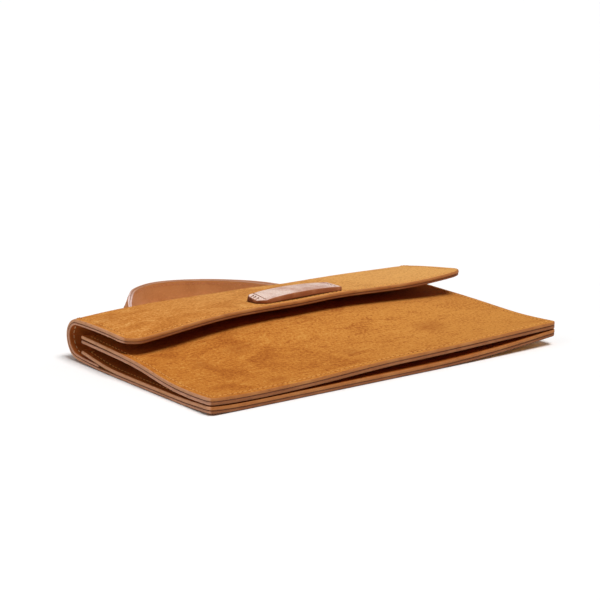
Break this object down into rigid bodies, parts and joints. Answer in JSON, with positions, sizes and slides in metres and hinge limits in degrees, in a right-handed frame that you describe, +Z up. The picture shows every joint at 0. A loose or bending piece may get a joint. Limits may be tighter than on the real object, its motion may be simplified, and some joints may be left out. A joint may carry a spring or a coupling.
{
  "type": "clutch purse",
  "caption": "Suede envelope clutch purse with a fold-over magnetic flap, a leather pull tab, a bellows pocket and a looped carrying strap.",
  "frame": {"origin": "on the flat underside of the back panel, below the middle of the folded purse", "axes": "+X along the purse's length, to the right end seen from the front; +Y from the front edge to the fold; +Z up from the table the purse lies on"},
  "size_m": [0.251, 0.2236, 0.0355],
  "materials": {
    "suede": "brushed tan suede",
    "lining": "smooth tan leather",
    "tab_leather": "pale vegetable-tanned leather",
    "strap_leather": "smooth tan leather",
    "thread": "waxed thread",
    "magnet": "nickel-plated disc"
  },
  "bodies": {
    "back": {"back_suede": "suede", "back_lining": "lining", "rear_leaf": "lining", "left_fold": "lining", "front_fold": "lining", "right_fold": "lining"},
    "front": {"front_suede": "suede", "front_leaf": "lining", "front_magnet": "magnet"},
    "flap": {"flap_suede": "suede", "flap_lining": "lining", "flap_magnet": "magnet", "flap_tab": "tab_leather", "tab_stitches": "thread"},
    "strap": {"strap_outer": "strap_leather", "strap_inner": "strap_leather"}
  },
  "joints": [
    {"name": "flap_turn", "type": "hinge", "parent": "back", "child": "flap", "pos_m": [0, 0.0748, 0.0141], "axis": [-1, 0, 0], "range_deg": [-5, 95]},
    {"name": "mouth_open", "type": "hinge", "parent": "back", "child": "front", "pos_m": [0, -0.0748, 0.0043], "axis": [1, 0, 0], "range_deg": [-0.45, 8.6], "deforming": ["left_fold", "front_fold", "right_fold"]},
    {"name": "strap_swing", "type": "hinge", "parent": "back", "child": "strap", "pos_m": [0, 0.07412, 0.006], "axis": [-1, 0, 0], "range_deg": [-15, 0]}
  ],
  "couplings": [
    {"joint": "mouth_open", "follows": "flap_turn", "ratio": 0.09}
  ]
}
